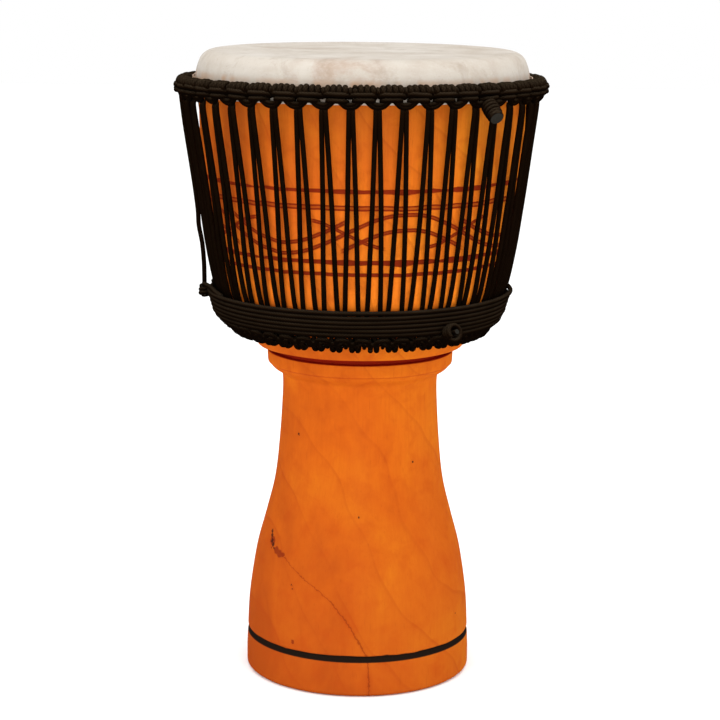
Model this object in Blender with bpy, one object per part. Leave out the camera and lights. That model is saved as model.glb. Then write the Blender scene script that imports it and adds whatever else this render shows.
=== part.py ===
"""Rope-tuned djembe: a goblet of turned wood, a goatskin head and a cage of braided rope.

Units are metres, +Z is up and the foot stands on z = 0. Angles run round the drum from its
front, which looks along -Y, towards +X.
"""
import bpy
import bmesh
from math import ceil, cos, radians, sin, tau
from mathutils import Vector

# ---- driving dimensions ----------------------------------------------------------------
HEAD_Z = 0.635             # top of the playing surface
EDGE_R, EDGE_Z = 0.1480, 0.6195        # centre of the rounded bearing edge's arc
EDGE_ROUND = 0.0155        # radius of the skin's outer face where it bends over that edge
SKIN = 0.0008              # thickness of the goatskin
LOOPS = 44                 # hitch loops on each ring, so 88 runs of lacing
ROPE_R = 0.0022            # rope, drawn a little slim so that neighbours stay clear
GAP = 0.0003               # clearance between pieces that lie against each other

CROWN_R, CROWN_Z = 0.1795, 0.6052      # centre line of the crown ring
FLESH_R, FLESH_Z = 0.1705, 0.5955      # centre line of the flesh hoop in the skin's fold
BOTTOM_R, BOTTOM_Z = 0.1250, 0.3620    # centre line of the bottom ring
RING_WIRE = 0.0032         # radius of the steel rod of the crown and bottom rings
FLESH_WIRE = 0.0030        # radius of the flesh hoop's rod
HITCH_R = 0.0080           # outer radius of the rope wrapped round a ring
HITCH_HOLLOW = 0.0049      # radius of the hollow that the ring's rod lies in
SLOT_OUTSIDE = 22          # degrees to each side of the slot where the rope mass opens
SLOT_INSIDE = 28           # the same at the hollow

CROWN_PHASE = -3.17        # degrees, a crown loop nearest the front
BOTTOM_PHASE = 0.92        # degrees, a bottom loop nearest the front
PITCH = 360 / LOOPS        # degrees between neighbouring loops

PAIR_TOP = 0.82            # degrees, half the angle between two runs where they meet a crown loop
PAIR_LOW = 1.70            # the same where they come down to the winding
PAIR_FOOT = 1.30           # the same under the winding, at a bottom loop

WINDING_TURNS = 6.625      # the far way round, from the left to the knot at the front right
WINDING_STEPS = 32         # points to a turn
WINDING_START = -96        # degrees, beside the knot at the left
TAIL_ANGLE = -90           # degrees, where the rope's end comes down the side

SEGMENTS = 36              # facets round the turned pieces
FACET = 45                 # degrees, widest facet of the rope mass round a ring


# ---- materials -------------------------------------------------------------------------
def material(name, colour, roughness, metallic=0.0):
    mat = bpy.data.materials.new(name)
    mat.use_nodes = True
    shader = mat.node_tree.nodes["Principled BSDF"]
    shader.inputs["Base Color"].default_value = (*colour, 1)
    shader.inputs["Roughness"].default_value = roughness
    shader.inputs["Metallic"].default_value = metallic
    return mat


# ---- shape helpers ---------------------------------------------------------------------
def smooth(points, steps):
    """Points of a smooth curve (Catmull-Rom) through the given ones."""
    pts = [Vector(p) for p in points]
    ends = [2 * pts[0] - pts[1]] + pts + [2 * pts[-1] - pts[-2]]
    curve = []
    for a, b, c, d in zip(ends, ends[1:], ends[2:], ends[3:]):
        for i in range(steps):
            t = i / steps
            bend = (2 * a - 5 * b + 4 * c - d) * t ** 2 + (3 * b - a - 3 * c + d) * t ** 3
            curve.append(b + ((c - a) * t + bend) / 2)
    return curve + [pts[-1]]


def arc(centre, radius, start, end, steps):
    """Points of a circular arc in the (r, z) plane, angles in degrees."""
    angles = [radians(start + (end - start) * i / steps) for i in range(steps + 1)]
    return [Vector((centre[0] + radius * cos(a), centre[1] + radius * sin(a))) for a in angles]


def around(angle, r, z):
    """World point at an angle in degrees from the front, a radius and a height."""
    return Vector((r * sin(radians(angle)), -r * cos(radians(angle)), z))


def add_mesh(name, bm, mat, sharp=40):
    bmesh.ops.recalc_face_normals(bm, faces=bm.faces)
    mesh = bpy.data.meshes.new(name)
    bm.to_mesh(mesh)
    bm.free()
    mesh.shade_smooth()
    mesh.set_sharp_from_angle(angle=radians(sharp))
    mesh.materials.append(mat)
    obj = bpy.data.objects.new(name, mesh)
    bpy.context.scene.collection.objects.link(obj)
    return obj


def turn(name, outline, mat, closed=True):
    """Turn an outline of (r, z) points about the Z axis; an open one ends on the axis."""
    bm = bmesh.new()
    verts = [bm.verts.new((p[0], 0, p[1])) for p in outline]
    pairs = list(zip(verts, verts[1:]))
    if closed:
        pairs.append((verts[-1], verts[0]))
    edges = [bm.edges.new(pair) for pair in pairs]
    bmesh.ops.spin(bm, geom=verts + edges, axis=(0, 0, 1), cent=(0, 0, 0),
                   angle=tau, steps=SEGMENTS, use_merge=True)
    bmesh.ops.remove_doubles(bm, verts=bm.verts, dist=1e-6)
    return add_mesh(name, bm, mat)


def ring_of_sections(name, sections, mat):
    """Join closed (r, z) sections, given as (angle, points), into one ring."""
    bm = bmesh.new()
    loops = [[bm.verts.new(around(angle, *p)) for p in points] for angle, points in sections]
    for loop, after in zip(loops, loops[1:] + loops[:1]):
        for i in range(len(loop)):
            j = (i + 1) % len(loop)
            bm.faces.new((loop[i], loop[j], after[j], after[i]))
    return add_mesh(name, bm, mat)


def rope(name, points, mat, radius=ROPE_R, resolution=1):
    """A length of rope along a line of points, with flat ends."""
    curve = bpy.data.curves.new(name, "CURVE")
    curve.dimensions = "3D"
    curve.bevel_depth = radius
    curve.bevel_resolution = resolution
    curve.use_fill_caps = True
    spline = curve.splines.new("POLY")
    spline.points.add(len(points) - 1)
    for slot, p in zip(spline.points, points):
        slot.co = (*p, 1)
    curve.materials.append(mat)
    obj = bpy.data.objects.new(name, curve)
    bpy.context.scene.collection.objects.link(obj)
    return obj


# ---- wooden shell ----------------------------------------------------------------------
def shell(mat):
    """Bowl, undercut, collar, neck and flared foot, bored right through."""
    rim = arc((EDGE_R, EDGE_Z), EDGE_ROUND - SKIN - GAP, 90, 0, 3)
    bowl = smooth([(0.1638, 0.600), (0.1612, 0.540), (0.1560, 0.485), (0.1500, 0.440),
                   (0.1447, 0.410), (0.1405, 0.391), (0.1300, 0.3770), (0.1165, 0.3660)], 1)
    undercut = [(0.1056, 0.3393), (0.0860, 0.3402), (0.0860, 0.3345), (0.0935, 0.3345)]
    collar = smooth([(0.0945, 0.3335), (0.0938, 0.3215), (0.0895, 0.3145), (0.0792, 0.3080)], 1)
    neck = smooth([(0.0788, 0.2950), (0.0812, 0.2450), (0.0862, 0.2000), (0.0952, 0.1620),
                   (0.1050, 0.1250), (0.1120, 0.0800), (0.1142, 0.0420)], 1)
    paint_groove = [(0.1117, 0.0405), (0.1117, 0.0379), (0.1144, 0.0364)]
    foot = [(0.1153, 0.0200), (0.1154, 0.0030), (0.1124, 0.0)]
    bore = smooth([(0.0970, 0.0), (0.0900, 0.0400), (0.0720, 0.1250), (0.0560, 0.2250),
                   (0.0530, 0.2950), (0.0640, 0.3400)], 1)
    chamber = smooth([(0.0930, 0.3700), (0.1170, 0.4050), (0.1340, 0.4700), (0.1410, 0.5400),
                      (0.1430, 0.6100)], 1)
    lip = [(0.1430, 0.6300), (0.1455, HEAD_Z - SKIN - GAP)]
    return turn("shell", rim + bowl + undercut + collar + neck + paint_groove + foot
                + bore + chamber + lip, mat)


# ---- goatskin head ---------------------------------------------------------------------
def drumhead(mat):
    """One sheet: flat top, down past the rim, round under the flesh hoop and up to its
    trimmed edge."""
    fold = FLESH_WIRE + GAP + SKIN / 2
    top = [(0.0, HEAD_Z - SKIN / 2)] + arc((EDGE_R, EDGE_Z), EDGE_ROUND - SKIN / 2, 90, 20, 3)
    side = [(0.1643, 0.6186), (0.1656, 0.6120), (0.1663, 0.6040)]
    under = arc((FLESH_R, FLESH_Z), fold, 180, 385, 5)
    flap = [(0.1703, 0.6015), (0.1700, 0.6135)]
    line = [Vector(p) for p in top + side + under + flap]
    outer, inner = [], []
    for i, p in enumerate(line):
        along = (line[min(i + 1, len(line) - 1)] - line[max(i - 1, 0)]).normalized()
        across = Vector((-along.y, along.x)) * (SKIN / 2)
        if i == 0:
            across = Vector((0, SKIN / 2))
        outer.append(p + across)
        inner.append(p - across)
    return turn("drumhead_skin", outer + inner[::-1], mat, closed=False)


# ---- steel rings -----------------------------------------------------------------------
def steel_ring(name, radius, z, wire, mat):
    return turn(name, arc((radius, z), wire, 30, 330, 5), mat)


# ---- rope wrapped and looped round the rings ---------------------------------------------
def hitch_section(centre, slot, apron):
    """Section of the rope mass round a ring: a C open at the slot angle, with an apron that
    stands for the loop hanging from it. apron holds (angle to leave at, the two tip points,
    angle to return at), the tips as offsets from the ring's centre."""
    leave, tips, back = apron
    c = Vector(centre)
    first, last = slot - SLOT_OUTSIDE, slot + SLOT_OUTSIDE - 360
    outer = arc(centre, HITCH_R, first, leave, ceil((first - leave) / FACET))
    tip = [c + Vector(t) for t in tips]
    close = arc(centre, HITCH_R, back, last, ceil((back - last) / FACET))
    hollow = arc(centre, HITCH_HOLLOW, slot + SLOT_INSIDE - 360, slot - SLOT_INSIDE, 4)
    return outer + tip + close + hollow


def hitches(name, centre, phase, slot, loop_apron, block_apron, mat):
    """Hitch rope of a ring: a loop section and a block section by turns."""
    sections = []
    for i in range(2 * LOOPS):
        apron = loop_apron if i % 2 == 0 else block_apron
        sections.append((phase + i * PITCH / 2, hitch_section(centre, slot, apron)))
    return ring_of_sections(name, sections, mat)


# ---- lacing, winding and rope ends -------------------------------------------------------
def lacing(mat):
    """Zig-zag between the crown loops and the bottom loops, two runs to each loop."""
    points = []
    for i in range(LOOPS):
        crown = CROWN_PHASE + i * PITCH
        low = crown + PITCH / 2
        down = [(crown + PAIR_TOP, 0.1735, 0.5868), (low - PAIR_LOW, 0.1487, 0.4090),
                (low - PAIR_FOOT, 0.1402, 0.3795), (low - PAIR_FOOT, 0.1340, 0.3692)]
        up = [(2 * low - angle, r, z) for angle, r, z in reversed(down)]
        points += [around(*p) for p in down + up]
    return rope("lacing_rope", points, mat)


def winding(mat):
    """The spare rope wound over the lacing, six turns and a half, following the bowl's curve in."""
    guide = smooth([(0.1507, 0.3986), (0.1479, 0.3880), (0.1452, 0.3785), (0.1406, 0.3688)], 80)
    steps = int(WINDING_TURNS * WINDING_STEPS)
    points = []
    for i in range(steps + 1):
        r, z = guide[round(i * (len(guide) - 1) / steps)]
        points.append(around(WINDING_START - 360 * i / WINDING_STEPS, r, z))
    return rope("tail_winding", points, mat)


def tail(mat):
    """The end of the lacing rope, which comes down outside the lacing at the left and hangs
    free of it over the winding, where its knot is."""
    route = [(0.1793, 0.5850), (0.1765, 0.5600), (0.1723, 0.5300), (0.1682, 0.5000),
             (0.1650, 0.4750), (0.1640, 0.4580), (0.1607, 0.4400), (0.1590, 0.4200),
             (0.1586, 0.3990)]
    points = smooth([around(TAIL_ANGLE, r, z) for r, z in route], 2)
    return rope("tail_drop", points, mat, resolution=2)


def knot(name, centre, axis, radius, length, mat):
    """A barrel knot: rope wound round its own end, drawn as one rounded barrel."""
    bm = bmesh.new()
    bmesh.ops.create_cone(bm, cap_ends=True, segments=12, radius1=radius, radius2=radius,
                          depth=length)
    rims = [e for e in bm.edges if abs(e.verts[0].co.z - e.verts[1].co.z) < 1e-6]
    bmesh.ops.bevel(bm, geom=rims, offset=radius * 0.3, segments=1, affect="EDGES")
    obj = add_mesh(name, bm, mat)
    obj.location = centre
    obj.rotation_euler = Vector(axis).to_track_quat("Z", "Y").to_euler()
    return obj


# ---- the drum ----------------------------------------------------------------------------
def main():
    for obj in list(bpy.data.objects):
        bpy.data.objects.remove(obj, do_unlink=True)
    wood = material("wood", (0.76, 0.18, 0.012), 0.35)
    goatskin = material("goatskin", (0.78, 0.70, 0.60), 0.6)
    black_rope = material("rope", (0.012, 0.010, 0.009), 0.75)
    steel = material("steel", (0.03, 0.03, 0.03), 0.5, 0.3)

    shell(wood)
    drumhead(goatskin)
    steel_ring("flesh_hoop", FLESH_R, FLESH_Z, FLESH_WIRE, steel)
    steel_ring("crown_ring", CROWN_R, CROWN_Z, RING_WIRE, steel)
    steel_ring("bottom_ring", BOTTOM_R, BOTTOM_Z, RING_WIRE, steel)
    hitches("crown_hitches", (CROWN_R, CROWN_Z), CROWN_PHASE, 220,
            (-15, [(0.0012, -0.0172), (-0.0034, -0.0172)], -95),
            (-15, [(0.0020, -0.0108), (-0.0030, -0.0108)], -95), black_rope)
    hitches("bottom_hitches", (BOTTOM_R, BOTTOM_Z), BOTTOM_PHASE, 140,
            (32, [(0.0135, 0.0035), (0.0142, 0.0)], -30),
            (32, [(0.0088, 0.0025), (0.0088, -0.0010)], -30), black_rope)
    lacing(black_rope)
    winding(black_rope)
    tail(black_rope)
    knot("tail_knot", around(TAIL_ANGLE, 0.1586, 0.3922), (0, 0, 1), 0.0060, 0.0126, black_rope)
    upper, lower = around(39.0, 0.1953, 0.6000), around(43.0, 0.1895, 0.5790)
    knot("crown_end_knot", (upper + lower) / 2, lower - upper, 0.0068, 0.0240, black_rope)
    knot("bottom_end_knot", around(33.9, 0.1565, 0.3735), (0.505, -0.788, 0.353), 0.0088, 0.0140,
         black_rope)


main()
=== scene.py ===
"""Looks of the rope-tuned djembe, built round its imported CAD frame.

Units are metres, +Z is up and the foot stands on z = 0. Angles are in degrees round the drum
from its front, which looks along -Y, towards +X. A profile is a list of (r, z) points.
"""
from math import cos, pi, radians, sin, tau
import bmesh
import bpy
import numpy as np
from mathutils import Euler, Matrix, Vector


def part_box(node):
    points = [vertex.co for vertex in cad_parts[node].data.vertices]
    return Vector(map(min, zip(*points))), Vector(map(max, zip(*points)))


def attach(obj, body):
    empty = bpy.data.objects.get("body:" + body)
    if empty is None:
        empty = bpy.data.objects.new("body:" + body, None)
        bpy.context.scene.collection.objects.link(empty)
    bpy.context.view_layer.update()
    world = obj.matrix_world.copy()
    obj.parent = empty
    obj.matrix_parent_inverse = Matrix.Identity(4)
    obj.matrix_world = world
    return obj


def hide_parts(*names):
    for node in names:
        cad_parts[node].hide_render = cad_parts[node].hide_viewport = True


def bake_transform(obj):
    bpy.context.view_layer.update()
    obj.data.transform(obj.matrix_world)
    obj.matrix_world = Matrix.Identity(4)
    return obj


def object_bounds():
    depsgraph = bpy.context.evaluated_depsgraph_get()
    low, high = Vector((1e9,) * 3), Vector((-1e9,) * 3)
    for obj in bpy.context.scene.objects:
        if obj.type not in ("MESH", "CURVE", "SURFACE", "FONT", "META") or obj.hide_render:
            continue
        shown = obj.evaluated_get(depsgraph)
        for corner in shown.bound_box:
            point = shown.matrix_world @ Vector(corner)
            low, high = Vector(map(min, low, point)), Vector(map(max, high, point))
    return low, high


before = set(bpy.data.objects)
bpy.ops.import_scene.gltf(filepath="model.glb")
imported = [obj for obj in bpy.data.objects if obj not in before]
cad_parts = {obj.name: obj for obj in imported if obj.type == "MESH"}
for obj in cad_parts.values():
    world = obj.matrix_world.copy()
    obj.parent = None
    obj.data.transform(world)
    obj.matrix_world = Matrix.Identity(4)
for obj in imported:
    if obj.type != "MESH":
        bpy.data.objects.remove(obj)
cad_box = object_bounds()
random = np.random.default_rng(12)


# ---- sizes taken from the frame ----------------------------------------------------------
def ring_of(node):
    """Radius, height and wire radius of a steel ring, from its box."""
    low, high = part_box(node)
    wire = (high[2] - low[2]) / 2
    return high[0] - wire * cos(radians(30)), (low[2] + high[2]) / 2, wire


HEAD_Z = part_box("drumhead_skin")[1][2]
CROWN_R, CROWN_Z, CROWN_WIRE = ring_of("crown_ring")
FLESH_R, FLESH_Z, FLESH_WIRE = ring_of("flesh_hoop")
BOTTOM_R, BOTTOM_Z, BOTTOM_WIRE = ring_of("bottom_ring")

LOOPS = 44                    # hitch loops on each ring
PITCH = 360 / LOOPS
CROWN_PHASE = -3.17           # a crown loop nearest the front
BOTTOM_PHASE = 0.92           # a bottom loop nearest the front
ROPE = 0.0024                 # radius of the rope
MELTED = 3.0                  # texture place of a cut and melted rope end
BRAID_ALONG, BRAID_ROUND = 330.0, 6.0     # braid cells to a metre of rope, and round it
SKIN = 0.0008                 # thickness of the goatskin
EDGE_R, EDGE_Z = 0.1480, 0.6195       # centre of the bearing edge's arc
EDGE_ROUND = 0.0155           # radius of the skin's outer face over that edge
CUT_DEEP = 0.0009             # depth of the carved lines
CROWN_OFF = -0.0020           # how far inside the CAD ring the crown is drawn,
CROWN_DROP = -0.0013          # and how far below it


# ---- camera ------------------------------------------------------------------------------
def add_camera():
    """From the front, a little above the drum, with a very slight roll."""
    data = bpy.data.cameras.new("camera")
    data.lens = 109.35
    data.sensor_width = 36
    camera = bpy.data.objects.new("camera", data)
    bpy.context.scene.collection.objects.link(camera)
    camera.location = (0, -2.192, 0.7615)
    tilt = Euler((radians(78.63), 0, 0)).to_matrix()
    roll = Euler((0, 0, radians(0.54))).to_matrix()
    camera.rotation_euler = (tilt @ roll).to_euler()
    bpy.context.scene.camera = camera


# ---- lines and surfaces ------------------------------------------------------------------
def smooth(points, steps=24):
    """Points of a smooth curve (Catmull-Rom) through the given ones."""
    p = np.asarray(points, float)
    p = np.vstack([2 * p[0] - p[1], p, 2 * p[-1] - p[-2]])
    t = (np.arange(steps) / steps)[:, None]
    spans = [b + ((c - a) * t + (2 * a - 5 * b + 4 * c - d) * t ** 2
                  + (3 * b - a - 3 * c + d) * t ** 3) / 2
             for a, b, c, d in zip(p, p[1:], p[2:], p[3:])]
    return np.vstack(spans + [p[-2:-1]])


def arc(centre, radius, start, end, steps=16):
    a = np.radians(np.linspace(start, end, steps + 1))
    return np.stack([centre[0] + radius * np.cos(a), centre[1] + radius * np.sin(a)], 1)


def respace(line, spacing):
    """The same line with points a given distance apart; spacing is a number, or a function
    of the points."""
    step = np.linalg.norm(np.diff(line, axis=0), axis=1)
    middle = (line[1:] + line[:-1]) / 2
    gap = spacing(middle) if callable(spacing) else np.full(len(step), spacing)
    count = np.concatenate([[0], np.cumsum(step / gap)])
    at = np.linspace(0, count[-1], max(2, round(count[-1]) + 1))
    return np.stack([np.interp(at, count, axis) for axis in line.T], 1)


def soften(line, passes):
    """Round a line's corners a little by averaging neighbours."""
    line = line.copy()
    for _ in range(passes):
        line[1:-1] = (line[:-2] + 2 * line[1:-1] + line[2:]) / 4
    return line


def around(angle, r, z):
    a = np.radians(angle)
    return np.stack(np.broadcast_arrays(r * np.sin(a), -r * np.cos(a), z), axis=-1)


CROWN_SHIFT = (-0.0012, 0, 0)           # the crown sits a little to the left


def crown_lift(angle):
    """The crown was pulled down unevenly: it stands higher at the front than at the back."""
    a = np.radians(angle)
    return -0.0003 + 0.0030 * np.cos(a) + 0.0006 * np.sin(a)


def off_centre(angle):
    """How much farther out the rope under the bowl lies at the drum's left."""
    return 0.0036 * np.exp(-((np.asarray(angle) % 360 - 268) / 38) ** 2)


def lifted(angle, r, z):
    """A place on rope between the rings. The crown's lift, and its slight shift to the left,
    fade out below it, and the rope under the bowl lies off centre."""
    fade = np.clip((z - 0.50) / 0.085, 0, 1)
    r = r + off_centre(angle) * np.clip((0.390 - z) / 0.014, 0, 1)
    return around(angle, r, z + crown_lift(angle) * fade) + np.multiply.outer(fade, CROWN_SHIFT)


def drift(count, size, knots, closed=False):
    """A smooth random line of numbers, about size high either way."""
    values = random.normal(0, size, knots)
    if closed:
        values = np.append(values, values[0])
    at = np.linspace(0, len(values) - 1, count)
    low = np.minimum(at.astype(int), len(values) - 2)
    t = at - low
    t = t * t * (3 - 2 * t)
    return values[low] * (1 - t) + values[low + 1] * t


def add_piece(name, points, faces, mat, uvs=None, tags=None, sharp=50):
    """A mesh object from points, faces, texture places at each corner and values at points."""
    mesh = bpy.data.meshes.new(name)
    mesh.from_pydata(points.tolist(), [], faces)
    if uvs is not None:
        layer = mesh.uv_layers.new(name="along")
        layer.data.foreach_set("uv", uvs.astype(np.float32).ravel())
    for tag, values in (tags or {}).items():
        store = mesh.attributes.new(tag, "FLOAT", "POINT")
        store.data.foreach_set("value", values.astype(np.float32).ravel())
    mesh.shade_smooth()
    mesh.set_sharp_from_angle(angle=radians(sharp))
    mesh.materials.append(mat)
    obj = bpy.data.objects.new(name, mesh)
    bpy.context.scene.collection.objects.link(obj)
    return obj


def turned(name, profile, columns, mat, shape=None, tags=None, lean=None):
    """Turn a closed profile, walked with its outside on the left hand, about the Z axis.
    shape(angle, r, z) gives how far the surface stands out, tags do the same for values
    stored at its points, and lean(angle) is how much higher the piece stands there."""
    along = np.roll(profile, -1, 0) - np.roll(profile, 1, 0)
    along /= np.maximum(np.linalg.norm(along, axis=1, keepdims=True), 1e-12)
    out_r, out_z = -along[:, 1:2], along[:, 0:1]
    angle = np.linspace(-180, 180, columns, endpoint=False)[None, :]
    r, z = profile[:, 0:1], profile[:, 1:2]
    lift = shape(angle, r, z) if shape else 0
    rise = lean(angle) if lean else 0
    points = around(angle, r + out_r * lift, z + out_z * lift + rise).reshape(-1, 3)
    index = np.arange(len(profile) * columns).reshape(len(profile), columns)
    below = np.roll(index, -1, 0)
    faces = np.stack([index, below, np.roll(below, -1, 1), np.roll(index, -1, 1)], -1)
    held = {tag: np.broadcast_to(f(angle, r, z), index.shape) for tag, f in (tags or {}).items()}
    return add_piece(name, points, faces.reshape(-1, 4).tolist(), mat, tags=held)


# ---- rope --------------------------------------------------------------------------------
def tube(path, radius=ROPE, sides=10, melted=True):
    """Points, faces and texture places of rope along a path. The texture runs in metres
    along the rope and from 0 to 1 round it."""
    path = np.asarray(path, float)
    tangent = np.gradient(path, axis=0)
    tangent /= np.maximum(np.linalg.norm(tangent, axis=1, keepdims=True), 1e-12)
    width = np.broadcast_to(radius, len(path)).astype(float)
    if melted:
        tip = ROPE * 0.3
        path = np.vstack([path[0] - tangent[0] * tip, path, path[-1] + tangent[-1] * tip])
        tangent = np.vstack([tangent[:1], tangent, tangent[-1:]])
        width = np.concatenate([[width[0] * 0.6], width, [width[-1] * 0.6]])
    side = np.cross(tangent[0], (0.31, 0.17, 0.93))
    normals = np.empty_like(path)
    for i, t in enumerate(tangent):
        side = side - t * side.dot(t)
        side = side / np.sqrt(side.dot(side))
        normals[i] = side
    other = np.cross(tangent, normals)
    turn = tau * np.arange(sides) / sides
    rings = (path[:, None] + width[:, None, None]
             * (normals[:, None] * np.cos(turn)[:, None] + other[:, None] * np.sin(turn)[:, None]))
    index = np.arange(len(path) * sides).reshape(len(path), sides)
    a, b = index[:-1], index[1:]
    quads = np.stack([a, np.roll(a, -1, 1), np.roll(b, -1, 1), b], -1).reshape(-1, 4)
    length = np.concatenate([[0], np.cumsum(np.linalg.norm(np.diff(path, axis=0), axis=1))])
    u0, u1 = np.broadcast_arrays(length[:-1, None], length[1:, None])
    u0 = np.repeat(u0, sides, 1)
    u1 = np.repeat(u1, sides, 1)
    v0 = np.broadcast_to(np.arange(sides) / sides, u0.shape)
    v1 = v0 + 1 / sides
    corners = np.stack([np.stack([u0, v0], -1), np.stack([u0, v1], -1),
                        np.stack([u1, v1], -1), np.stack([u1, v0], -1)], 2).reshape(-1, 2)
    caps = [index[0][::-1].tolist(), index[-1].tolist()]
    ends = np.full((2 * sides, 2), MELTED)
    return rings.reshape(-1, 3), quads.tolist() + caps, np.vstack([corners, ends])


def rope_piece(name, tubes, mat):
    """One piece from several lengths of rope."""
    points, faces, uvs = [], [], []
    start = 0
    for p, f, uv in tubes:
        points.append(p)
        faces += [[i + start for i in face] for face in f]
        uvs.append(uv)
        start += len(p)
    return add_piece(name, np.vstack(points), faces, mat, uvs=np.vstack(uvs), sharp=60)


# ---- materials ---------------------------------------------------------------------------
class Shader:
    """A Principled material and short ways to add nodes to it."""

    def __init__(self, name, **sockets):
        self.material = bpy.data.materials.new(name)
        self.material.use_nodes = True
        self.tree = self.material.node_tree
        self.main = self.tree.nodes["Principled BSDF"]
        for socket, value in sockets.items():
            self.main.inputs[socket.replace("_", " ")].default_value = value

    def add(self, kind, inputs=None, **settings):
        node = self.tree.nodes.new("ShaderNode" + kind)
        for name, value in settings.items():
            setattr(node, name, value)
        for key, value in (inputs or {}).items():
            self.feed(node.inputs[key], value)
        return node

    def feed(self, socket, value):
        if isinstance(value, bpy.types.NodeSocket):
            self.tree.links.new(value, socket)
        else:
            socket.default_value = value

    def math(self, operation, a, b=0.0, clamp=False):
        node = self.add("Math", {0: a, 1: b}, operation=operation, use_clamp=clamp)
        return node.outputs[0]

    def distance(self, place, point):
        node = self.add("VectorMath", {0: place, 1: point}, operation="DISTANCE")
        return node.outputs["Value"]

    def noise(self, place, scale, detail=3.0, roughness=0.55, distortion=0.0):
        return self.add("TexNoise", {"Vector": place, "Scale": scale, "Detail": detail,
                                     "Roughness": roughness, "Distortion": distortion}).outputs[0]

    def stretch(self, place, scale, turn=(0, 0, 0)):
        return self.add("Mapping", {"Vector": place, "Scale": scale, "Rotation": turn}).outputs[0]

    def ramp(self, factor, stops):
        """A colour or grey for each stop (place, value)."""
        node = self.add("ValToRGB", {0: factor})
        band = node.color_ramp
        while len(band.elements) < len(stops):
            band.elements.new(0.5)
        for element, (place, value) in zip(band.elements, stops):
            element.position = place
            element.color = (*value, 1) if isinstance(value, tuple) else (value, value, value, 1)
        return node.outputs[0]

    def mix(self, factor, a, b, blend="MIX"):
        node = self.add("Mix", data_type="RGBA", blend_type=blend)
        for socket, value in zip((node.inputs[0], node.inputs[6], node.inputs[7]), (factor, a, b)):
            if isinstance(value, tuple):
                value = (*value, 1)
            self.feed(socket, value)
        return node.outputs[2]

    def tag(self, name):
        return self.add("Attribute", attribute_name=name).outputs["Fac"]

    def bump(self, height, distance, strength=1.0, after=None):
        inputs = {"Height": height, "Distance": distance, "Strength": strength}
        if after:
            inputs["Normal"] = after
        return self.add("Bump", inputs).outputs[0]

    def finish(self, **links):
        for socket, value in links.items():
            self.tree.links.new(value, self.main.inputs[socket.replace("_", " ")])
        return self.material


NECK_Z = [0.0, 0.042, 0.080, 0.125, 0.162, 0.200, 0.245, 0.295]
NECK_R = [0.1150, 0.1142, 0.1120, 0.1050, 0.0952, 0.0862, 0.0812, 0.0788]


def on_neck(angle, z):
    """A point on the neck's surface."""
    return tuple(around(angle, np.interp(z, NECK_Z, NECK_R), z))


def spots(s, place, marks):
    """1 within each round mark, given as (angle, z, radius), ragged at its edge, 0 beyond."""
    closest = 9.0
    for angle, z, radius in marks:
        away = s.distance(place, on_neck(angle, z))
        closest = s.math("MINIMUM", closest, s.math("DIVIDE", away, radius))
    return s.ramp(s.math("MULTIPLY", closest, 0.5), [(0.40, 1.0), (0.55, 0.0)])


def crack(s, place, width):
    """1 along the crack that runs from the knot hole down to the foot, 0 away from it."""
    split = s.add("SeparateXYZ", {0: place})
    x, y, z = split.outputs
    angle = s.math("ARCTAN2", x, s.math("MULTIPLY", y, -1.0))
    top = 0.140               # the crack's highest point
    reach = 60.0              # degrees either way that its angle is stored in
    radius = 0.09             # the neck's, about
    route = [(-50, 0.136), (-33, 0.118), (-23.5, 0.108), (-15, 0.098), (-6.5, 0.079), (-3, 0.069),
             (4.8, 0.042), (5.9, 0.018), (5.9, 0.0)]
    share = s.math("DIVIDE", z, top)
    at = s.ramp(share, [(h / top, a / (2 * reach) + 0.5) for a, h in reversed(route)])
    at = s.math("MULTIPLY", s.math("SUBTRACT", at, 0.5), radians(2 * reach))
    off = s.math("ABSOLUTE", s.math("SUBTRACT", angle, at))
    across = s.math("DIVIDE", s.math("MULTIPLY", off, radius), width)
    line = s.ramp(across, [(0.35, 1.0), (1.0, 0.0)])
    return s.math("MULTIPLY", line, s.math("LESS_THAN", share, 0.97))


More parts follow.
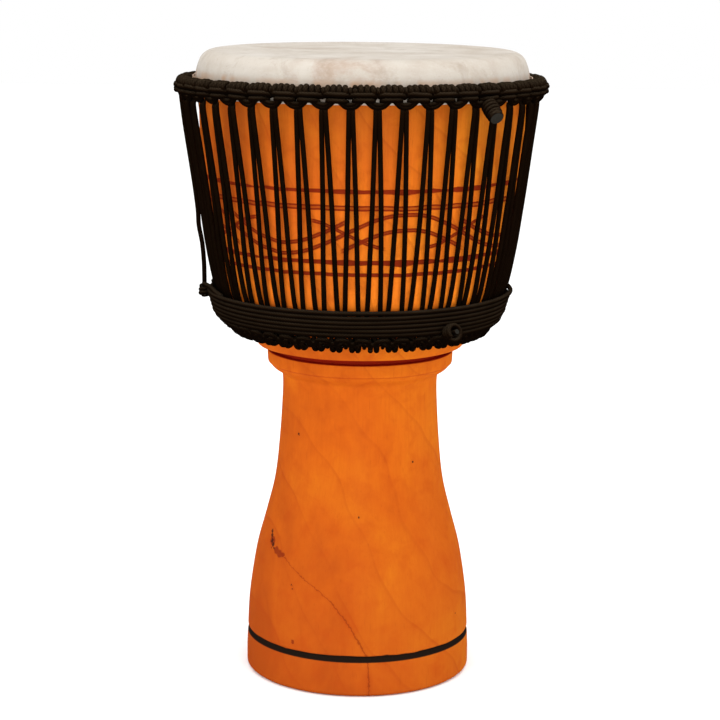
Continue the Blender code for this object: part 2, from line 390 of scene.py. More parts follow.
def wood_material():
    """Amber lacquered wood: clouded stain, growth lines of a tilted log, pores, stained carving, painted
    shade in the undercut, and painted light: lighter towards the right and on the bowl among the ropes.
    """
    s = Shader("wood", Specular_IOR_Level=0.0, Coat_Weight=0.015, Coat_Roughness=0.3, Coat_IOR=1.4)
    place = s.add("TexCoord").outputs["Object"]
    split = s.add("SeparateXYZ", {0: place})
    cloud = s.noise(s.stretch(place, (1, 1, 0.7)), 13.0, 5.0, 0.62, 0.4)
    # painted light: the wood is made lighter and yellower towards +X, the drum's right, and darker and
    # redder towards its left, as the lights from the right fall on it; from here cloud holds both the
    # stain's clouds and this painted light
    side = s.math("MULTIPLY", split.outputs[0], 1.1)
    cloud = s.math("ADD", cloud, side)
    mottle = s.noise(place, 55.0, 4.0, 0.6, 0.5)
    log = s.stretch(place, (1, 1, 0.9), (0, radians(36), 0))
    layer = s.add("TexWave", {"Vector": log, "Scale": 7.0, "Distortion": 5.0, "Detail": 2.0,
                              "Detail Scale": 1.1, "Detail Roughness": 0.45},
                  wave_type="BANDS", bands_direction="X", wave_profile="SAW").outputs[1]
    grain = s.noise(s.stretch(place, (1, 1, 0.05)), 420.0, 3.0, 0.6)
    pores = s.noise(s.stretch(place, (1, 1, 0.04)), 900.0, 2.0, 0.5)
    base = s.ramp(cloud, [(0.30, (0.356, 0.062, 0.0055)), (0.47, (0.430, 0.082, 0.0060)),
                          (0.62, (0.464, 0.103, 0.0066)), (0.80, (0.494, 0.131, 0.0072))])
    # painted light: the bowl, from about z 0.38 up to the rim, is made brighter, about twice as bright just
    # above the winding at z 0.41, to lift the shade the ropes and its down-facing curve get there; the foot
    # is darker towards the bottom
    fade = s.ramp(split.outputs[2], [(0.07, (0.83, 0.80, 1.0)), (0.20, (0.94, 0.95, 1.0)),
                                     (0.32, (1.06, 1.08, 1.0)), (0.36, (1.02, 1.06, 1.0)),
                                     (0.41, (1.92, 2.42, 2.3)), (0.50, (1.47, 1.50, 1.7)),
                                     (0.57, (1.18, 1.36, 1.6))])
    base = s.mix(1.0, base, fade, "MULTIPLY")
    colour = s.mix(s.ramp(mottle, [(0.48, 0.0), (0.72, 0.38)]), base, (0.32, 0.042, 0.0045))
    shade = s.ramp(layer, [(0.0, 0.05), (0.80, 0.12), (0.93, 0.42), (0.955, 1.0), (0.985, 1.0),
                           (1.0, 0.05)])
    shade = s.math("MULTIPLY", shade, s.ramp(s.noise(place, 9.0), [(0.35, 0.10), (0.62, 0.34)]))
    colour = s.mix(shade, colour, (0.26, 0.030, 0.0045))
    colour = s.mix(s.math("MULTIPLY", s.ramp(grain, [(0.4, 0.0), (0.75, 1.0)]), 0.20),
                   colour, (0.30, 0.046, 0.0045))
    colour = s.mix(s.math("MULTIPLY", s.ramp(pores, [(0.64, 0.0), (0.76, 1.0)]), 0.28),
                   colour, (0.19, 0.027, 0.004))
    shaken = s.add("TexNoise", {"Vector": place, "Scale": 330.0, "Detail": 3.0}).outputs[1]
    shaken = s.add("VectorMath", {0: shaken, 1: (0.5, 0.5, 0.5)}, operation="SUBTRACT").outputs[0]
    shaken = s.add("VectorMath", {0: shaken, "Scale": 0.0045}, operation="SCALE").outputs[0]
    ragged = s.add("VectorMath", {0: place, 1: shaken}, operation="ADD").outputs[0]
    colour = s.mix(s.math("MULTIPLY", crack(s, ragged, 0.0030), 0.20), colour, (0.27, 0.030, 0.004))
    colour = s.mix(s.math("MULTIPLY", crack(s, ragged, 0.0009), 0.62), colour, (0.15, 0.018, 0.003))
    healed = spots(s, ragged, [(-54, 0.1355, 0.0040), (-50.5, 0.1335, 0.0042), (-47.5, 0.1335, 0.0026),
                               (-60, 0.143, 0.0050), (-34.8, 0.050, 0.0022)])
    colour = s.mix(s.math("MULTIPLY", healed, 0.85), colour, (0.16, 0.018, 0.004))
    holes = spots(s, ragged, [(-63, 0.1515, 0.0020), (-62, 0.1475, 0.0026), (-60.5, 0.1430, 0.0024),
                              (-58.5, 0.1395, 0.0022), (-56.5, 0.1365, 0.0014), (-59.5, 0.136, 0.0012),
                              (-48.9, 0.255, 0.0014), (40.5, 0.230, 0.0012), (0.2, 0.179, 0.0011),
                              (-38, 0.107, 0.0012), (-37, 0.1035, 0.0009), (62, 0.0685, 0.0010),
                              (63.4, 0.0665, 0.0009)])
    colour = s.mix(s.math("MULTIPLY", holes, 0.9), colour, (0.035, 0.010, 0.005))
    # dark red for the carved tag: stain in the carving, and painted shade in the undercut and along the
    # collar's lower edge (the stop at z 0.342)
    stain = s.ramp(split.outputs[2], [(0.342, (0.20, 0.010, 0.003)), (0.40, (0.215, 0.020, 0.0042))])
    colour = s.mix(s.ramp(s.tag("carved"), [(0.1, 0.0), (0.75, 1.0)]), colour, stain)
    colour = s.mix(s.tag("black"), colour, (0.010, 0.006, 0.004))
    rough = s.ramp(s.noise(place, 30.0), [(0.3, 0.34), (0.7, 0.46)])
    normal = s.bump(grain, 0.0001, 0.5)
    normal = s.bump(pores, 0.0002, 0.25, normal)
    return s.finish(Base_Color=colour, Roughness=rough, Normal=normal)


def skin_material():
    """Goatskin: off-white with beige clouds, hair specks and fine creases, peach at its edge."""
    s = Shader("goatskin", Specular_IOR_Level=0.2)
    place = s.add("TexCoord").outputs["Object"]
    cloud = s.noise(place, 14.0, 6.0, 0.62, 0.3)
    blotch = s.noise(place, 34.0, 5.0, 0.68, 0.5)
    speck = s.noise(place, 620.0, 3.0, 0.7)
    fibre = s.noise(s.stretch(place, (1.0, 2.2, 2.2), (0, 0, 0.6)), 150.0, 6.0, 0.75, 0.6)
    base = s.ramp(cloud, [(0.30, (0.323, 0.270, 0.215)), (0.46, (0.385, 0.341, 0.290)),
                          (0.64, (0.426, 0.389, 0.341))])
    patch = s.distance(place, (-0.022, -0.164, 0.620))
    patch = s.math("MULTIPLY", s.ramp(patch, [(0.010, 1.0), (0.055, 0.0)]),
                   s.ramp(blotch, [(0.42, 0.0), (0.62, 1.0)]))
    colour = s.mix(s.math("MULTIPLY", patch, 0.85), base, (0.311, 0.211, 0.151))
    colour = s.mix(s.ramp(blotch, [(0.52, 0.0), (0.68, 0.75)]), colour, (0.294, 0.248, 0.195))
    colour = s.mix(s.ramp(fibre, [(0.50, 0.0), (0.75, 0.40)]), colour, (0.470, 0.440, 0.402))
    colour = s.mix(s.ramp(speck, [(0.60, 0.0), (0.76, 0.42)]), colour, (0.223, 0.165, 0.117))
    colour = s.mix(s.tag("tan"), colour, (0.376, 0.227, 0.134))
    rough = s.ramp(cloud, [(0.3, 0.62), (0.7, 0.48)])
    normal = s.bump(fibre, 0.0004, 0.4)
    normal = s.bump(speck, 0.0002, 0.35, normal)
    return s.finish(Base_Color=colour, Roughness=rough, Normal=normal)


def rope_material():
    """Black braided polyester: diamond cells of crossing strands, lighter in random worn patches, with
    painted shade in the gaps between strands and painted light: lighter and browner where it faces up,
    darker where it faces down.
    """
    s = Shader("rope", Specular_IOR_Level=0.0)
    along = s.add("UVMap", uv_map="along").outputs[0]
    split = s.add("SeparateXYZ", {0: along})
    cells = s.math("MULTIPLY", split.outputs[0], BRAID_ALONG)
    strands = s.math("MULTIPLY", split.outputs[1], BRAID_ROUND)
    right = s.math("SINE", s.math("MULTIPLY", s.math("ADD", strands, cells), pi))
    left = s.math("SINE", s.math("MULTIPLY", s.math("SUBTRACT", strands, cells), pi))
    weave = s.math("MULTIPLY", s.math("ABSOLUTE", right), s.math("ABSOLUTE", left))
    fibre = s.noise(s.add("TexCoord").outputs["Object"], 1400.0, 2.0)
    worn = s.noise(s.add("TexCoord").outputs["Object"], 55.0, 3.0)
    # painted light: rope facing up is painted lighter and browner and rope facing down darker, as light from
    # above falls on it; random worn patches are then made lighter
    facing = s.add("SeparateXYZ", {0: s.add("TexCoord").outputs["Normal"]}).outputs[2]
    facing = s.math("ADD", s.math("MULTIPLY", facing, 0.5), 0.5)
    painted_light_from_above = s.ramp(facing, [(0.35, (0.0030, 0.0016, 0.0008)), (0.52, (0.0075, 0.0036, 0.0015)),
                            (0.88, (0.0250, 0.0180, 0.0108))])
    wear_and_painted_light = s.mix(s.ramp(worn, [(0.35, 0.0), (0.65, 1.0)]), painted_light_from_above, (1.25, 1.25, 1.25), "MULTIPLY")
    # painted shade: the gaps between the braid's strands are darkened to about a third
    colour = s.mix(weave, s.mix(1.0, wear_and_painted_light, (0.35, 0.30, 0.30), "MULTIPLY"), wear_and_painted_light)
    colour = s.mix(s.ramp(fibre, [(0.62, 0.0), (0.8, 0.35)]), colour, (0.022, 0.017, 0.011))
    tip = s.mix(fibre, (0.006, 0.005, 0.004), (0.024, 0.022, 0.018))
    colour = s.mix(s.math("GREATER_THAN", split.outputs[1], MELTED - 1), colour, tip)
    rough = s.ramp(fibre, [(0.3, 0.40), (0.7, 0.60)])
    normal = s.bump(weave, 0.0006, 0.5)
    normal = s.bump(fibre, 0.0001, 0.4, normal)
    return s.finish(Base_Color=colour, Roughness=rough, Normal=normal)


def steel_material():
    """Black-painted rod, scuffed by the rope."""
    s = Shader("steel", Specular_IOR_Level=0.05)
    place = s.add("TexCoord").outputs["Object"]
    cloud = s.noise(place, 60.0, 4.0)
    scratch = s.noise(s.stretch(place, (1, 1, 12)), 300.0, 2.0)
    colour = s.ramp(cloud, [(0.3, (0.006, 0.006, 0.006)), (0.7, (0.014, 0.013, 0.012))])
    rough = s.ramp(cloud, [(0.3, 0.35), (0.7, 0.55)])
    return s.finish(Base_Color=colour, Roughness=rough, Normal=s.bump(scratch, 0.0001, 0.4))


# ---- wooden shell ------------------------------------------------------------------------
def near(value, centre, half, soft):
    """1 within half of the centre, falling to 0 over soft beyond it."""
    return np.clip((half + soft - np.abs(value - centre)) / soft, 0, 1)


WAVE_PERIOD = 90              # degrees, four waves round the bowl
WAVE_PEAK = 16.2              # where the front wave is highest
WAVE_Z, WAVE_HIGH = 0.4708, 0.0200    # middle and height of the carved waves
WAVE_R = 0.155                # the bowl's radius there


def unsteady(angle, values):
    """A hand's waver at an angle, from values spread evenly round the drum."""
    return np.interp(angle, np.linspace(-180, 180, len(values) + 1), np.append(values, values[0]))


def carved_bands(angle, r, z):
    """How deep the tool went, 0 to 1: four bands and between them the double-lined waves,
    each with arcs nested in it and a short stroke through each crossing."""
    width = 1 + 0.35 * unsteady(angle, WIDEN)
    z = z + unsteady(angle, SHAKE) * 0.0004

    def double(centre, slope, half, inside):
        """A pair of cuts either side of a line, with shallow hatching between."""
        off = (z - centre) * np.cos(np.arctan(slope))
        cuts = near(np.abs(off), half, 0.00045, 0.0005)
        return np.maximum(cuts, inside * near(off, 0, half, 0.0002))

    cut = near(z, 0.5124, 0.0016 * width, 0.0005)
    cut = np.maximum(cut, double(0.4966, 0, 0.0018, 0.45))
    cut = np.maximum(cut, near(z, 0.4439, 0.0020 * width, 0.0005))
    cut = np.maximum(cut, double(0.4321, 0, 0.0011, 0.75))
    turn = (angle - WAVE_PEAK + WAVE_PERIOD / 2) % WAVE_PERIOD - WAVE_PERIOD / 2
    steep = WAVE_HIGH * tau / (radians(WAVE_PERIOD) * WAVE_R)
    phase = np.radians(turn * 360 / WAVE_PERIOD)
    half = 0.00125
    wave = double(WAVE_Z + WAVE_HIGH * np.cos(phase), steep * np.sin(phase), half, 0.6)
    cut = np.maximum(cut, wave)
    for start, reach, low, high in ((0, 24, 0.4759, -0.0222), (WAVE_PERIOD / 2, 24.5, 0.4612, 0.0238)):
        away = np.abs((turn - start + WAVE_PERIOD / 2) % WAVE_PERIOD - WAVE_PERIOD / 2)
        share = np.clip(away / reach, 0, 1)
        line = low + high * (share ** 2 * (1.5 - 0.5 * share))
        fade = np.clip((reach - away) / 2, 0, 1)
        cut = np.maximum(cut, fade * double(line, high * 2 * share / (radians(reach) * WAVE_R), half, 0.6))
    for crossing, way in ((-WAVE_PERIOD / 4 + 1.5, -1), (WAVE_PERIOD / 4 - 1.5, 1)):
        away = turn - crossing
        share = away / 14
        line = WAVE_Z + way * 0.0134 * np.sin(np.clip(share, -1, 1) * 1.35) / 0.976
        fade = np.clip((1 - np.abs(share)) * 6, 0, 1)
        cut = np.maximum(cut, fade * double(line, 0.42, half * 0.8, 0.55))
    return cut * ((z > 0.42) & (z < 0.525) & (r > 0.144))


SHAKE = random.normal(0, 1, 72)          # the carving's waver, and how its width varies
WIDEN = random.normal(0, 1, 72)


def stained(angle, r, z):
    """Where the dark red colour lies: stain in the carving, and painted shade in the undercut above the
    collar and in a fainter line along the collar's lower edge.
    """
    # painted shade: the recess of the undercut above the collar is coloured dark red
    undercut = near(z, 0.3366, 0.0032, 0.0006) * (r < 0.1036) * (r > 0.08)
    # painted shadow: a faint dark line along the collar's lower edge
    painted_shadow_line = near(z, 0.3206, 0.0004, 0.0006) * (r > 0.0915) * (r < 0.095) * 0.35
    return np.maximum(carved_bands(angle, r, z), np.maximum(undercut, painted_shadow_line))


def painted(angle, r, z):
    """The black line painted in the foot's groove."""
    edge = unsteady(angle, WIDEN) * 0.00025
    return near(z, 0.0388 + edge, 0.0030 + edge, 0.0005) * (r > 0.109)


def shell_profile():
    """The same outline as the CAD shell, drawn smooth, with its corners just eased."""
    rim = arc((EDGE_R, EDGE_Z), 0.0136, 90, 0)
    bowl = smooth([(0.1634, 0.608), (0.1634, 0.600), (0.1612, 0.540), (0.1560, 0.485), (0.1500, 0.440),
                   (0.1447, 0.410), (0.1405, 0.391), (0.1300, 0.3770), (0.1165, 0.3660)])
    undercut = np.array([(0.1048, 0.3402), (0.0895, 0.3404), (0.0885, 0.3338), (0.0935, 0.3336)])
    collar = np.vstack([smooth([(0.0945, 0.3330), (0.0943, 0.3270), (0.0939, 0.3208)], 8),
                        smooth([(0.0928, 0.3207), (0.0888, 0.3160), (0.0822, 0.3116), (0.0793, 0.3088)], 8)])
    neck = smooth([(0.0787, 0.3010), (0.0790, 0.2850), (0.0812, 0.2450), (0.0862, 0.2000), (0.0952, 0.1620),
                   (0.1050, 0.1250), (0.1120, 0.0800), (0.1142, 0.0420)])
    groove = np.array([(0.1119, 0.0412), (0.1117, 0.0379), (0.1144, 0.0364)])
    foot = np.array([(0.1153, 0.0200), (0.1154, 0.0030), (0.1124, 0.0)])
    bore = smooth([(0.0970, 0.0), (0.0900, 0.0400), (0.0720, 0.1250), (0.0560, 0.2250),
                   (0.0530, 0.2950), (0.0640, 0.3400)])
    chamber = smooth([(0.0930, 0.3700), (0.1170, 0.4050), (0.1340, 0.4700), (0.1410, 0.5400),
                      (0.1430, 0.6100)])
    lip = np.array([(0.1430, 0.6300), (0.1452, HEAD_Z - SKIN - 0.0014)])

    def spacing(p):
        """Fine rows where the surface is carved or has corners, wide ones elsewhere."""
        r, z = p[:, 0], p[:, 1]
        inside = r < np.interp(z, [0, 0.1, 0.3, 0.36, 0.42, 0.6], [0.1, 0.088, 0.07, 0.098, 0.135, 0.148])
        fine = ((z > 0.424) & (z < 0.522)) | ((z > 0.330) & (z < 0.345))
        corner = ((z > 0.304) & (z < 0.345)) | (z < 0.046)
        gap = np.where(fine, 0.00062, np.where(corner, 0.0010, 0.0034))
        return np.where(inside & (r < 0.085) | inside & (z > 0.36), 0.009, gap)

    line = np.vstack([rim, bowl, undercut, collar, neck, groove, foot, bore, chamber, lip])
    line = respace(np.vstack([line, line[:1]]), spacing)
    return soften(line, 2)[:-1]


def shell(mat):
    def shape(angle, r, z):
        """Tool marks: the carving's depth and a slight unevenness of hand work."""
        uneven = 0.00022 * np.sin(np.radians(3 * angle) + 40 * z) * np.sin(np.radians(5 * angle) - 23 * z)
        rim = z > 0.60
        return np.where(rim, 0, uneven * np.clip(z / 0.004, 0, 1)) - CUT_DEEP * carved_bands(angle, r, z)

    # the carved tag holds the carving's stain and also the painted shade of the undercut and of the collar's
    # lower edge
    piece = turned("shell_wood", shell_profile(), 640, mat, shape,
                   {"carved": stained, "black": painted})
    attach(piece, "drum_body")
    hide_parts("shell")


# ---- goatskin head -----------------------------------------------------------------------
def head(mat):
    """Skin stretched over the rim, down inside the crown ring and round the flesh hoop, with
    puckers between the loops and a trimmed edge that stands up behind the crown ring."""
    fold = FLESH_WIRE + 0.0003 + SKIN / 2
    top = np.array([(0.0, HEAD_Z - SKIN / 2), (0.04, HEAD_Z - SKIN / 2), (0.08, HEAD_Z - SKIN / 2),
                    (0.12, HEAD_Z - SKIN / 2)])
    edge = arc((EDGE_R, EDGE_Z), EDGE_ROUND - SKIN / 2, 90, 20)
    side = smooth([edge[-1], (0.1643, 0.6186), (0.1656, 0.6120), (0.1663, 0.6040),
                   (FLESH_R - fold, FLESH_Z)])[1:-1]
    under = arc((FLESH_R, FLESH_Z), fold, 180, 385)
    flap = smooth([under[-1], (0.1714, 0.6005), (0.1702, 0.6040), (0.1690, 0.6075), (0.1688, 0.6098)])[1:]
    line = respace(np.vstack([top, edge, side, under, flap]),
                   lambda p: np.where(p[:, 0] < 0.135, 0.012, 0.0009))
    along = np.gradient(line, axis=0)
    along /= np.linalg.norm(along, axis=1, keepdims=True)
    across = np.stack([-along[:, 1], along[:, 0]], 1) * SKIN / 2
    across[0] = (0, SKIN / 2)
    share = np.linspace(0, 1, len(line))
    columns = 704
    angle = np.linspace(-180, 180, columns, endpoint=False)[None, :]
    trim = drift(columns, 0.0004, 90, closed=True)[None, :]

    def skin_face(profile):
        r, z = profile[:, 0:1], profile[:, 1:2]
        pucker = np.clip((0.626 - z) / 0.02, 0, 1) * (r < 0.1675)
        by_loop = np.cos(np.radians((angle - CROWN_PHASE) * LOOPS))
        ripple = by_loop * 0.00018 + np.cos(np.radians(angle * 17 + 40)) * 0.00012
        swell = np.clip((r - 0.1706) / 0.003, 0, 1) * (z < 0.5995)
        bulge = by_loop * 0.00035 * swell
        last = np.clip((share[:, None] - 0.93) / 0.07, 0, 1)
        hung = np.clip((0.611 - z) / 0.010, 0, 1) * crown_lift(angle)
        return around(angle, r - pucker * (0.0002 - ripple) + bulge, z + last * trim + hung)

    faces = [skin_face(line + across), skin_face(line - across)[::-1]]
    grid = np.vstack(faces)
    rows = len(grid)
    index = np.arange(rows * columns).reshape(rows, columns)
    a, b = index[:-1], index[1:]
    quads = np.stack([a, b, np.roll(b, -1, 1), np.roll(a, -1, 1)], -1).reshape(-1, 4)
    edge_tan = np.clip((share - 0.93) / 0.04, 0, 1) * 0.8
    tan = np.concatenate([edge_tan, edge_tan[::-1]])[:, None] + 0.0 * angle
    low = np.concatenate([line[:, 1], line[::-1, 1]])[:, None]
    near_rope = np.clip((0.6175 - low) / 0.004, 0, 1) * (low > 0.60)
    tan = np.maximum(tan, near_rope * (0.30 + np.clip(drift(columns, 0.25, 150, closed=True), -0.2, 0.5)))
    piece = add_piece("goatskin_head", grid.reshape(-1, 3), quads.tolist(), mat,
                      tags={"tan": tan}, sharp=60)
    close_poles(piece)
    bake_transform(piece)
    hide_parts("drumhead_skin")


def close_poles(piece):
    """Merge the rows of points that lie on the axis."""
    bm = bmesh.new()
    bm.from_mesh(piece.data)
    middle = [v for v in bm.verts if v.co.x ** 2 + v.co.y ** 2 < 1e-10]
    bmesh.ops.remove_doubles(bm, verts=middle, dist=1e-5)
    bm.to_mesh(piece.data)
    bm.free()


# ---- steel rings -------------------------------------------------------------------------
def steel_ring(node, radius, height, wire, body, mat, lean=None):
    piece = turned(node + "_rod", arc((radius, height), wire, 360, 0, 14)[:-1][::-1], 240, mat, lean=lean)
    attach(piece, body)
    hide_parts(node)


# ---- crown hitches -----------------------------------------------------------------------
def wrap_line(radius, height, places, phase, start, lean=None, steps=20):
    """Rope wound round a ring for the whole way round. places holds, for each wrap of one
    loop's stretch, its angle from the stretch's middle, its path's radius round the ring's
    centre line and its own thickness as a share of the rope's."""
    angles, depths, widths = [], [], []
    for i in range(LOOPS):
        for angle, depth, width in places:
            angles.append(phase + i * PITCH + angle + random.normal(0, 0.07))
            depths.append(depth + random.normal(0, 0.00012))
            widths.append(width)
    angles.append(angles[0] + 360)
    depths.append(depths[0])
    widths.append(widths[0])
    count = len(angles) - 1
    at = np.arange(count * steps) / steps
    low = at.astype(int)
    t = at - low
    slide = t - 0.72 * np.sin(tau * t) / tau
    angles, depths, widths = (np.array(x) for x in (angles, depths, widths))
    angle = angles[low] + (angles[low + 1] - angles[low]) * slide
    ease = t * t * (3 - 2 * t)
    depth = depths[low] * (1 - ease) + depths[low + 1] * ease
    width = widths[low] * (1 - ease) + widths[low + 1] * ease
    turn = np.radians(start - 360 * t)
    rise = lean(angle) if lean else 0
    path = around(angle, radius + depth * np.cos(turn), height + depth * np.sin(turn) + rise)
    if lean:
        path = path + CROWN_SHIFT
    return tube(path, ROPE * width, sides=10)


def strand(middle, points, jitter=0.0002, width=1.0):
    """A short length across a block, through (angle from the middle, r, z) points that are
    mirrored about it."""
    full = [(-a, r, z) for a, r, z in reversed(points[1:])] + points
    out, up, slant, along = random.normal(0, jitter, 4)
    route = [lifted(middle + a + along * 900, r + out, z + up + slant * a / 2) for a, r, z in full]
    return tube(smooth(route, 5), ROPE * width)


def wave_line(phase, points, steps=5, jitter=0.00015):
    """A rope that runs in a wave all round. points goes from a crest at the block's middle,
    angle 0, to the loop's foot half a pitch on."""
    route = []
    for i in range(LOOPS):
        middle = phase + (i + 0.5) * PITCH
        wobble = random.normal(0, jitter, 2)
        for a, r, z in [(-a, r, z) for a, r, z in reversed(points[1:])] + points[:-1]:
            route.append(lifted(middle + a, r + wobble[0], z + wobble[1]))
    route.append(route[0])
    return tube(smooth(route, steps), sides=10, melted=False)


def crown(mat):
    """Four wraps to a block and a sunken one between blocks, two strands across each block,
    and the two rows of loops that the lacing hangs from."""
    block = CROWN_PHASE + PITCH / 2
    wraps = [(-2.66, 0.0044, 1.13), (-0.90, 0.0047, 1.17), (0.90, 0.0047, 1.17), (2.66, 0.0044, 1.13),
             (4.09, 0.0026, 0.92)]
    tubes = [wrap_line(CROWN_R + CROWN_OFF, CROWN_Z + CROWN_DROP, wraps, block, 35, crown_lift)]
    for i in range(LOOPS):
        middle = block + i * PITCH
        tubes.append(strand(middle, [(0, 0.1848, 0.6018), (1.5, 0.1845, 0.6019), (2.5, 0.1833, 0.6018),
                                     (3.2, 0.1808, 0.6010), (3.8, 0.1775, 0.5996)], width=1.06))
        tubes.append(strand(middle, [(0, 0.1845, 0.5967), (1.3, 0.1842, 0.5967), (2.1, 0.1828, 0.5966),
                                     (2.6, 0.1803, 0.5961), (2.9, 0.1765, 0.5955)], width=1.02))
    loops = [(0, 0.1800, 0.5974), (0.45, 0.1802, 0.5969), (1.1, 0.1803, 0.5948), (2.2, 0.1792, 0.5916),
             (2.9, 0.1783, 0.5903), (3.5, 0.1779, 0.5899), (PITCH / 2, 0.1778, 0.5899)]
    upper_loops = [(0, 0.1785, 0.5985), (0.6, 0.1790, 0.5981), (1.4, 0.1800, 0.5963), (2.4, 0.1798, 0.5938),
                   (3.1, 0.1792, 0.5927), (3.6, 0.1789, 0.5924), (PITCH / 2, 0.1788, 0.5924)]
    tubes += [wave_line(CROWN_PHASE, loops), wave_line(CROWN_PHASE, upper_loops)]
    piece = rope_piece("crown_rope_hitches", tubes, mat)
    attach(piece, "head_rings")
    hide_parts("crown_hitches")


def bottom(mat):
    """Pairs of wraps on the bottom ring and a thin one between pairs, with a strand across
    each pair, and loops that stand out and up to the lacing."""
    block = BOTTOM_PHASE + PITCH / 2
    wraps = [(-0.55, 0.0055, 1.12), (2.10, 0.0056, 1.15), (PITCH / 2 + 0.8, 0.0028, 0.8)]
    tubes = [wrap_line(BOTTOM_R, BOTTOM_Z - 0.0014, wraps, block, -50)]
    loops = [(0, 0.1328, 0.3626), (0.9, 0.1330, 0.3627), (1.55, 0.1344, 0.3640), (2.2, 0.1368, 0.3660),
             (3.0, 0.1378, 0.3668), (PITCH / 2, 0.1380, 0.3669)]
    tubes.append(wave_line(BOTTOM_PHASE, loops))
    for i in range(LOOPS):
        middle = block + i * PITCH
        tubes.append(strand(middle, [(0, 0.1318, 0.3612), (1.4, 0.1317, 0.3612), (2.5, 0.1305, 0.3616),
                                     (3.3, 0.1275, 0.3622)]))
    piece = rope_piece("bottom_rope_hitches", tubes, mat)
    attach(piece, "drum_body")
    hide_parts("bottom_hitches")


# ---- lacing, winding and tail --------------------------------------------------------------
def lacing(mat):
    """One rope in 88 runs: a bight over each crown loop, down past the bowl, under the
    winding and round a bottom loop."""
    route = []
    for i in range(LOOPS):
        top = CROWN_PHASE + i * PITCH + random.normal(0, 0.08)
        foot = BOTTOM_PHASE + i * PITCH + random.normal(0, 0.10)
        for way in (-1, 1):
            low = foot if way == 1 else foot - PITCH
            spread = 1.70 + random.normal(0, 0.10)
            above = 0.66 + random.normal(0, 0.05)
            start, end = top + way * above, low - way * spread
            slack = random.normal(0, 0.06)
            down = [(top + way * 0.12, 0.1742, 0.5893), (top + way * 0.5, 0.1746, 0.5878)]
            for z, r in ((0.5804, 0.1748), (0.5446, 0.1697), (0.5205, 0.1663), (0.4963, 0.1629),
                         (0.4720, 0.1595), (0.4476, 0.1560), (0.4231, 0.1516), (0.4050, 0.1476)):
                share = (0.5804 - z) / (0.5804 - 0.4050)
                down.append((start + (end - start) * share + slack * sin(pi * share), r, z))
            down += [(end + way * 0.15, 0.1450, 0.3965), (end + way * 0.3, 0.1421, 0.3878),
                     (low - way * 1.2, 0.1376, 0.3785), (low - way * 0.9, 0.1352, 0.3715),
                     (low - way * 0.35, 0.1346, 0.3680)]
            route += down[::-1] if way == -1 else down
    points = smooth([lifted(*p) for p in route], 3)
    piece = rope_piece("lacing_line", [tube(points, sides=10)], mat)
    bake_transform(piece)
    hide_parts("lacing_rope")


WINDING_START = -96           # beside the knot at the left
WINDING_TURNS = 6.62          # the far way round, to the knot at the front right


def winding(mat):
    """The spare rope, wound over the lacing and down the bowl's curve to its knot, with the
    two short lengths that cross at the tail's knot."""
    guide = smooth([(0.1504, 0.3986), (0.1479, 0.3880), (0.1452, 0.3785), (0.1408, 0.3688)], 80)
    count = int(WINDING_TURNS * 150)
    t = np.linspace(0, 1, count)
    at = t * (len(guide) - 1)
    r = np.interp(at, np.arange(len(guide)), guide[:, 0])
    z = np.interp(at, np.arange(len(guide)), guide[:, 1])
    angle = WINDING_START - 360 * WINDING_TURNS * t
    slack = np.exp(-((angle + 270) / 28) ** 2) * 0.0018
    r = r + drift(count, 0.00022, 90) + slack + off_centre(angle) * np.clip(t / 0.12, 0.3, 1)
    z = z + drift(count, 0.00018, 90)
    tubes = [tube(around(angle, r, z), sides=12)]
    bridge = [(-89, 0.1592, 0.3985), (-83, 0.1573, 0.4008), (-77, 0.1538, 0.4004), (-72, 0.1515, 0.3976),
              (-66, 0.1503, 0.3958)]
    low = [(-89, 0.1580, 0.3880), (-92, 0.1562, 0.3868), (-95, 0.1540, 0.3905), (-98, 0.1515, 0.3965),
           (-102, 0.1505, 0.3985)]
    tubes += [tube(smooth([around(*p) for p in line], 6), sides=12) for line in (bridge, low)]
    piece = rope_piece("winding_line", tubes, mat)
    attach(piece, "drum_body")
    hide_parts("tail_winding")


TAIL_ANGLE = -90


def tail(mat):
    """The rope's end, which comes down outside the lacing at the left to its knot."""
    route = [(0.1800, 0.5930), (0.1793, 0.5850), (0.1765, 0.5600), (0.1723, 0.5300), (0.1682, 0.5000),
             (0.1650, 0.4750), (0.1640, 0.4580), (0.1607, 0.4400), (0.1590, 0.4200), (0.1586, 0.3990),
             (0.1586, 0.3920)]
    points = smooth([lifted(TAIL_ANGLE, r, z) for r, z in route], 8)
    piece = rope_piece("tail_line", [tube(points, sides=12)], mat)
    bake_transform(piece)
    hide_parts("tail_drop")


def knot(name, node, body, centre, axis, radius, length, turns, mat, cap=0.0, root=0.0):
    """A barrel knot: the rope wound round its own end. cap is the radius of its melted tip, and
    root is the rope that shows between the knot and what it is tied on."""
    spin = Vector(axis).normalized().to_track_quat("Z", "Y").to_matrix()
    coil = radius - ROPE
    t = np.linspace(0, 1, int(turns * 26))
    turn = tau * turns * t
    swell = 1 + 0.08 * np.sin(pi * t)
    wound = np.stack([coil * swell * np.cos(turn), coil * swell * np.sin(turn),
                      (t - 0.5) * (length - 2 * ROPE)], 1)
    ends = length / 2 + 0.0004
    core = np.stack([np.zeros(8), np.zeros(8), np.linspace(-ends - root, ends, 8)], 1)
    place = np.array(spin).T
    tubes = [tube(wound @ place + np.array(centre), ROPE * 0.95, sides=12),
             tube(core @ place + np.array(centre), ROPE * 1.05, sides=14)]
    if cap:
        reach = np.linspace(length / 2 - 0.004, length / 2 + 0.0012, 6)
        stub = np.stack([np.zeros(6), np.zeros(6), reach], 1)
        rounded = cap * np.array([1, 1, 1, 1, 1, 0.88])
        tubes.append(tube(stub @ place + np.array(centre), rounded, sides=20, melted=False))
    piece = rope_piece(name, tubes, mat)
    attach(piece, body)
    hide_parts(node)
    return piece


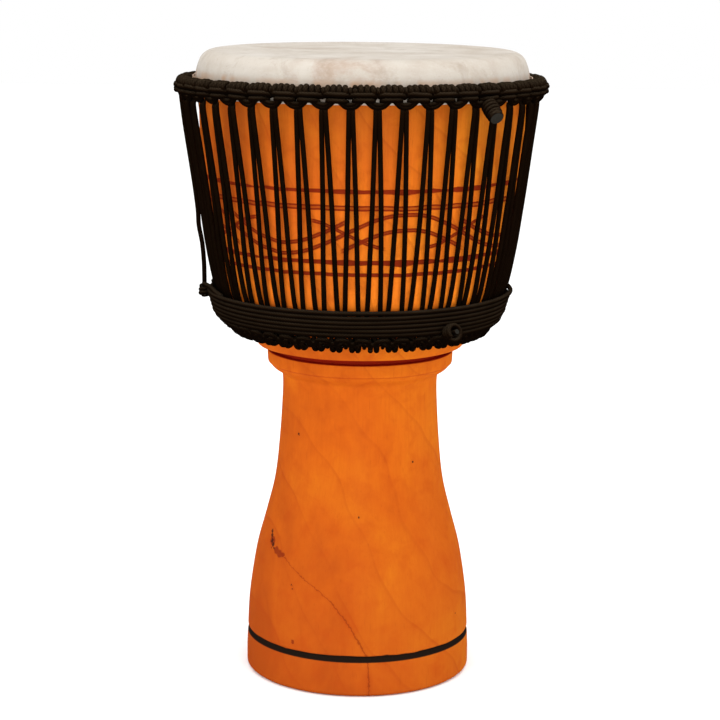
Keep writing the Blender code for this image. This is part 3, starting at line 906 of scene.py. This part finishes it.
def knots(mat):
    knot("tail_stopper", "tail_knot", "drum_body", around(TAIL_ANGLE, 0.1586, 0.3922),
         (0.1, 0.15, 1), 0.0060, 0.0126, 2.2, mat)
    knot("crown_stopper", "crown_end_knot", "head_rings", lifted(39.9, 0.1905, 0.5862),
         (0.35, -0.75, -0.55), 0.0080, 0.0215, 3.8, mat, cap=0.0072)
    knot("bottom_stopper", "bottom_end_knot", "drum_body", around(34.8, 0.1552, 0.3734),
         (0.505, -0.788, 0.353), 0.0094, 0.0140, 2.6, mat, cap=0.0026, root=0.0065)


# ---- studio ------------------------------------------------------------------------------
def area_light(name, place, target, size, power, colour=(1, 1, 1)):
    data = bpy.data.lights.new(name, "AREA")
    data.shape = "RECTANGLE"
    data.size, data.size_y = size
    data.energy = power
    data.color = colour
    lamp = bpy.data.objects.new(name, data)
    bpy.context.scene.collection.objects.link(lamp)
    lamp.location = place
    lamp.visible_camera = False
    lamp.rotation_euler = (Vector(target) - Vector(place)).to_track_quat("-Z", "Y").to_euler()


def studio():
    """A white floor, a bright even surround and large soft lights."""
    s = Shader("floor", Roughness=0.9, Specular_IOR_Level=0.1)
    paper = s.noise(s.add("TexCoord").outputs["Object"], 40.0)
    mat = s.finish(Base_Color=s.ramp(paper, [(0.3, (0.93, 0.93, 0.93)), (0.7, (0.95, 0.95, 0.95))]))
    mesh = bpy.data.meshes.new("floor")
    size = 8.0
    mesh.from_pydata([(-size, -size, 0), (size, -size, 0), (size, size, 0), (-size, size, 0)], [],
                     [(0, 1, 2, 3)])
    mesh.materials.append(mat)
    floor = bpy.data.objects.new("floor", mesh)
    bpy.context.scene.collection.objects.link(floor)
    floor.location.z = cad_box[0][2] - 0.0004
    world = bpy.data.worlds.new("surround")
    world.use_nodes = True
    world.node_tree.nodes["Background"].inputs["Color"].default_value = (1, 1, 1, 1)
    world.node_tree.nodes["Background"].inputs["Strength"].default_value = 1.0
    bpy.context.scene.world = world
    area_light("key", (1.2, -1.9, 1.9), (0, 0, 0.4), (1.4, 1.4), 14)
    area_light("fill", (-1.5, -1.8, 1.3), (0, 0, 0.35), (1.4, 1.6), 15)
    area_light("front", (0.1, -2.9, 0.35), (0, 0, 0.40), (1.8, 1.0), 30)
    area_light("top", (0, 0.3, 2.4), (0, 0, 0.5), (1.6, 1.6), 16)
    area_light("right", (2.0, 0.1, 0.7), (0, 0, 0.35), (1.0, 1.4), 9)
    area_light("left", (-2.0, 0.1, 0.7), (0, 0, 0.35), (1.0, 1.4), 5)
    sun = bpy.data.lights.new("sky", "SUN")
    sun.energy = 0.8
    sun.angle = radians(60)
    sky = bpy.data.objects.new("sky", sun)
    sky.rotation_euler = (radians(25), 0, 0)
    bpy.context.scene.collection.objects.link(sky)
    bpy.context.scene.view_settings.view_transform = "Standard"


# ---- the drum ----------------------------------------------------------------------------
def main():
    add_camera()
    wood = wood_material()
    skin = skin_material()
    black_rope = rope_material()
    steel = steel_material()
    shell(wood)
    head(skin)
    steel_ring("flesh_hoop", FLESH_R, FLESH_Z, FLESH_WIRE, "head_rings", steel, crown_lift)
    steel_ring("crown_ring", CROWN_R + CROWN_OFF, CROWN_Z + CROWN_DROP, CROWN_WIRE * 0.7,
               "head_rings", steel, crown_lift)
    steel_ring("bottom_ring", BOTTOM_R, BOTTOM_Z, BOTTOM_WIRE, "drum_body", steel)
    crown(black_rope)
    bottom(black_rope)
    lacing(black_rope)
    winding(black_rope)
    tail(black_rope)
    knots(black_rope)
    studio()


main()
